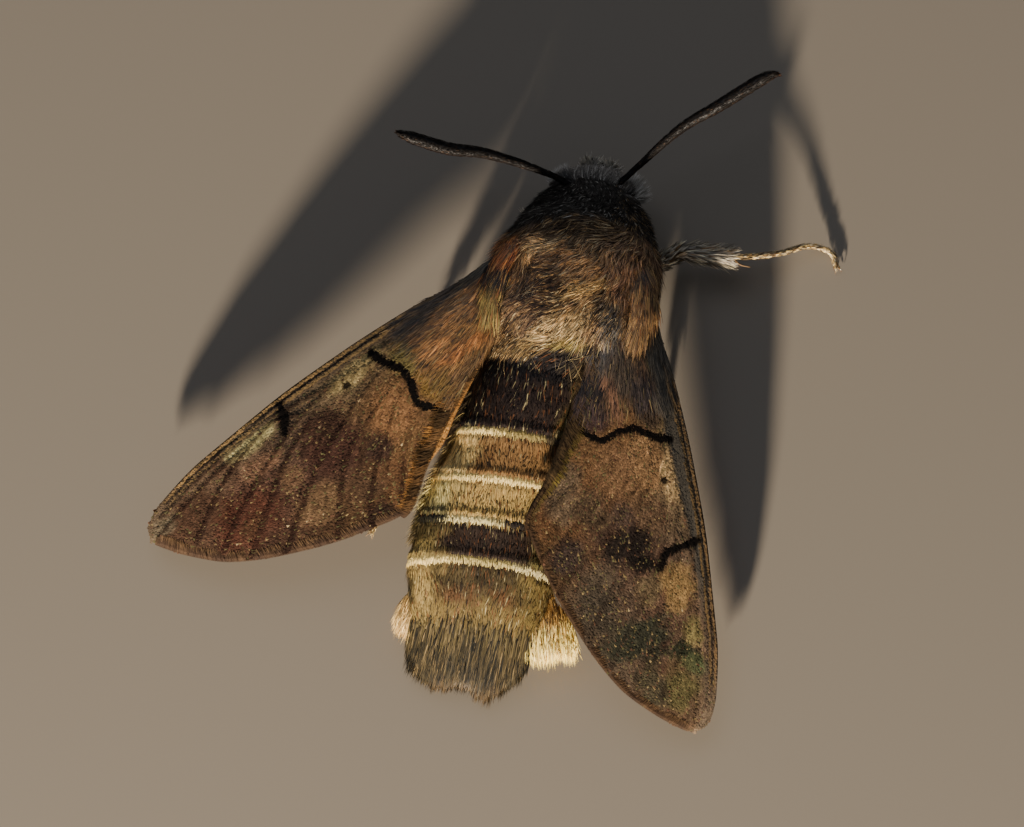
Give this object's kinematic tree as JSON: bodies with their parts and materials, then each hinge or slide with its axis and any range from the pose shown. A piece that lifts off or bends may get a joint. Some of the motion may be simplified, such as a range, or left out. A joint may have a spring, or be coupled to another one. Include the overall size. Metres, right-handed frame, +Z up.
{
  "type": "hawk moth",
  "caption": "Life-size hummingbird hawk moth at rest, wings swept back like a roof, body furred, feelers forward; a still model.",
  "frame": {"origin": "on the floor, under the middle of the model's box", "axes": "+Y towards the head, +X to the moth's right side, +Z up; the feet, abdomen and tail fan rest on z = 0"},
  "size_m": [0.0312, 0.034, 0.0084],
  "materials": {
    "coat_head": "grey-brown scale fur, matt",
    "coat_palp": "pale grey scale fur, matt",
    "coat_collar": "black-brown scale fur, matt",
    "coat_thorax": "olive-brown hair with tan tips, matt",
    "coat_abdomen": "olive-gold and blackish scales with cream bands, matt",
    "coat_tail": "long dark olive scales, matt",
    "coat_flank": "cream scale tufts, matt",
    "forewing": "membrane under brown scales with dark lines, satin",
    "hindwing": "membrane under orange scales, satin",
    "antenna": "dark brown scaled chitin, satin",
    "leg": "chitin under grey and tan scales, satin",
    "horn_brown": "bare brown chitin, glossy",
    "eye": "dark faceted eye, glossy"
  },
  "bodies": {
    "root": {"head": "coat_head", "eye_left": "eye", "palp_left": "coat_palp", "eye_right": "eye", "palp_right": "coat_palp", "proboscis": "horn_brown", "collar": "coat_collar", "thorax": "coat_thorax", "antenna_left": "antenna", "antenna_right": "antenna", "abdomen_1": "coat_abdomen", "abdomen_2": "coat_abdomen", "abdomen_3": "coat_abdomen", "abdomen_4": "coat_abdomen", "abdomen_5": "coat_abdomen", "abdomen_6": "coat_abdomen", "abdomen_7": "coat_abdomen", "tail_fan": "coat_tail", "flank_tuft_left": "coat_flank", "forewing_left": "forewing", "hindwing_left": "hindwing", "tegula_left": "coat_thorax", "flank_tuft_right": "coat_flank", "forewing_right": "forewing", "hindwing_right": "hindwing", "tegula_right": "coat_thorax", "femur_fore_left": "leg", "tibia_fore_left": "leg", "tarsus_fore_left": "leg", "femur_fore_right": "leg", "tibia_fore_right": "leg", "tarsus_fore_right": "leg", "femur_middle_left": "leg", "tibia_middle_left": "leg", "tarsus_middle_left": "leg", "femur_middle_right": "leg", "tibia_middle_right": "leg", "tarsus_middle_right": "leg", "femur_hind_left": "leg", "tibia_hind_left": "leg", "tarsus_hind_left": "leg", "femur_hind_right": "leg", "tibia_hind_right": "leg", "tarsus_hind_right": "leg"}
  },
  "joints": []
}
